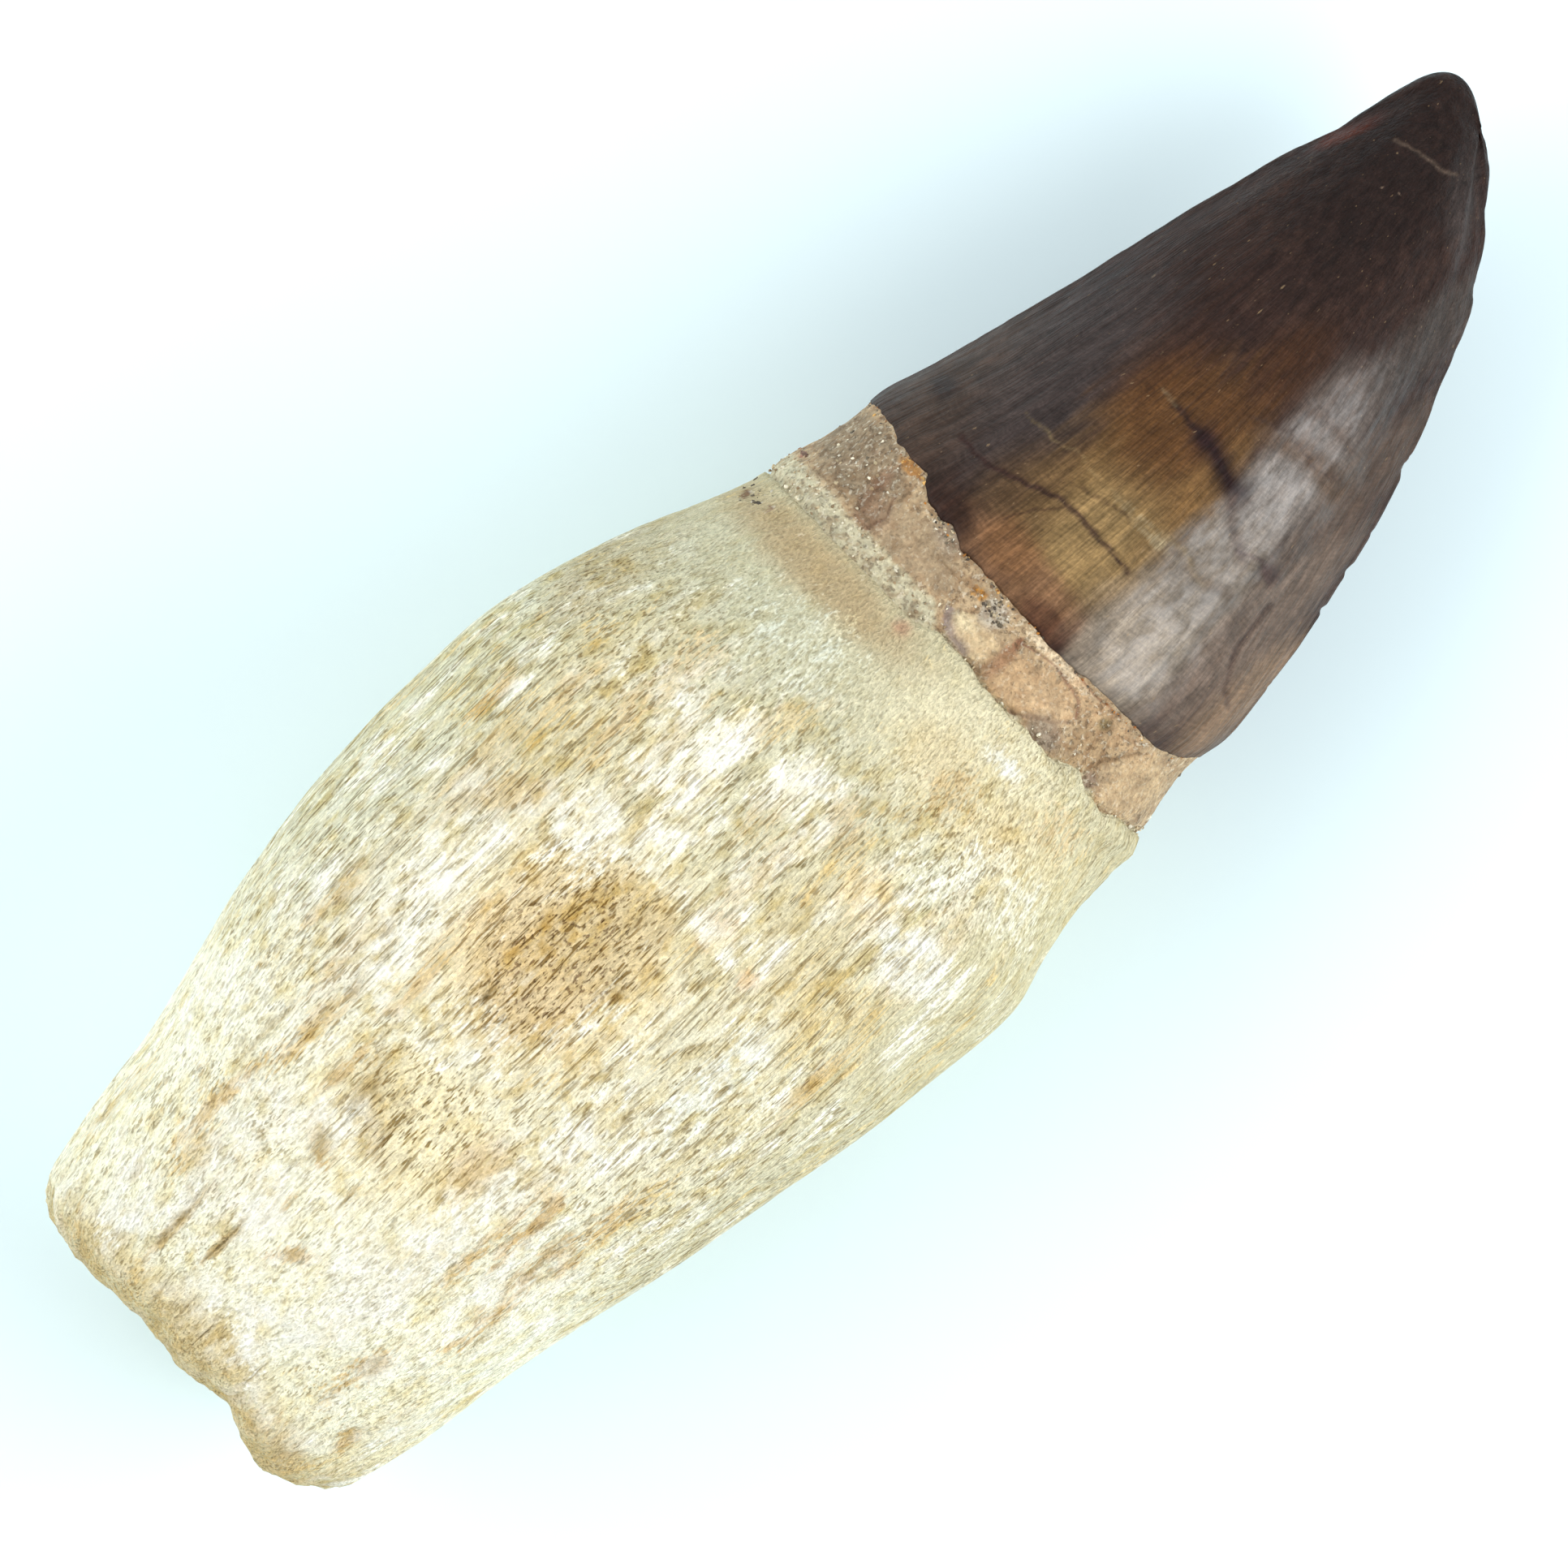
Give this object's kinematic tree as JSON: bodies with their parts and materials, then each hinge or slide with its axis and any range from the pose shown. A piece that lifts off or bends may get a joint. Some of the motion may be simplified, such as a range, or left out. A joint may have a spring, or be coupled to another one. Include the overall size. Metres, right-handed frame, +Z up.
{
  "type": "fossil mosasaur tooth",
  "caption": "Fossil reptile tooth lying on its side, with a dark curved enamel crown, a narrow neck and a thick fibrous cream root.",
  "frame": {"origin": "on the surface that the tooth lies on, under the middle of its box", "axes": "+X from the root's end to the crown's tip, +Y towards the hollow rear edge of the crown, +Z up out of the surface"},
  "size_m": [0.1262, 0.0456, 0.0357],
  "materials": {
    "root_bone": "matt cream and ochre fossil bone, grained along its length",
    "neck_dentine": "rough tan dentine with sandy crumbs",
    "enamel": "satin dark brown enamel, finely ribbed along its length"
  },
  "bodies": {
    "root": {"tooth": "root_bone"}
  },
  "joints": []
}
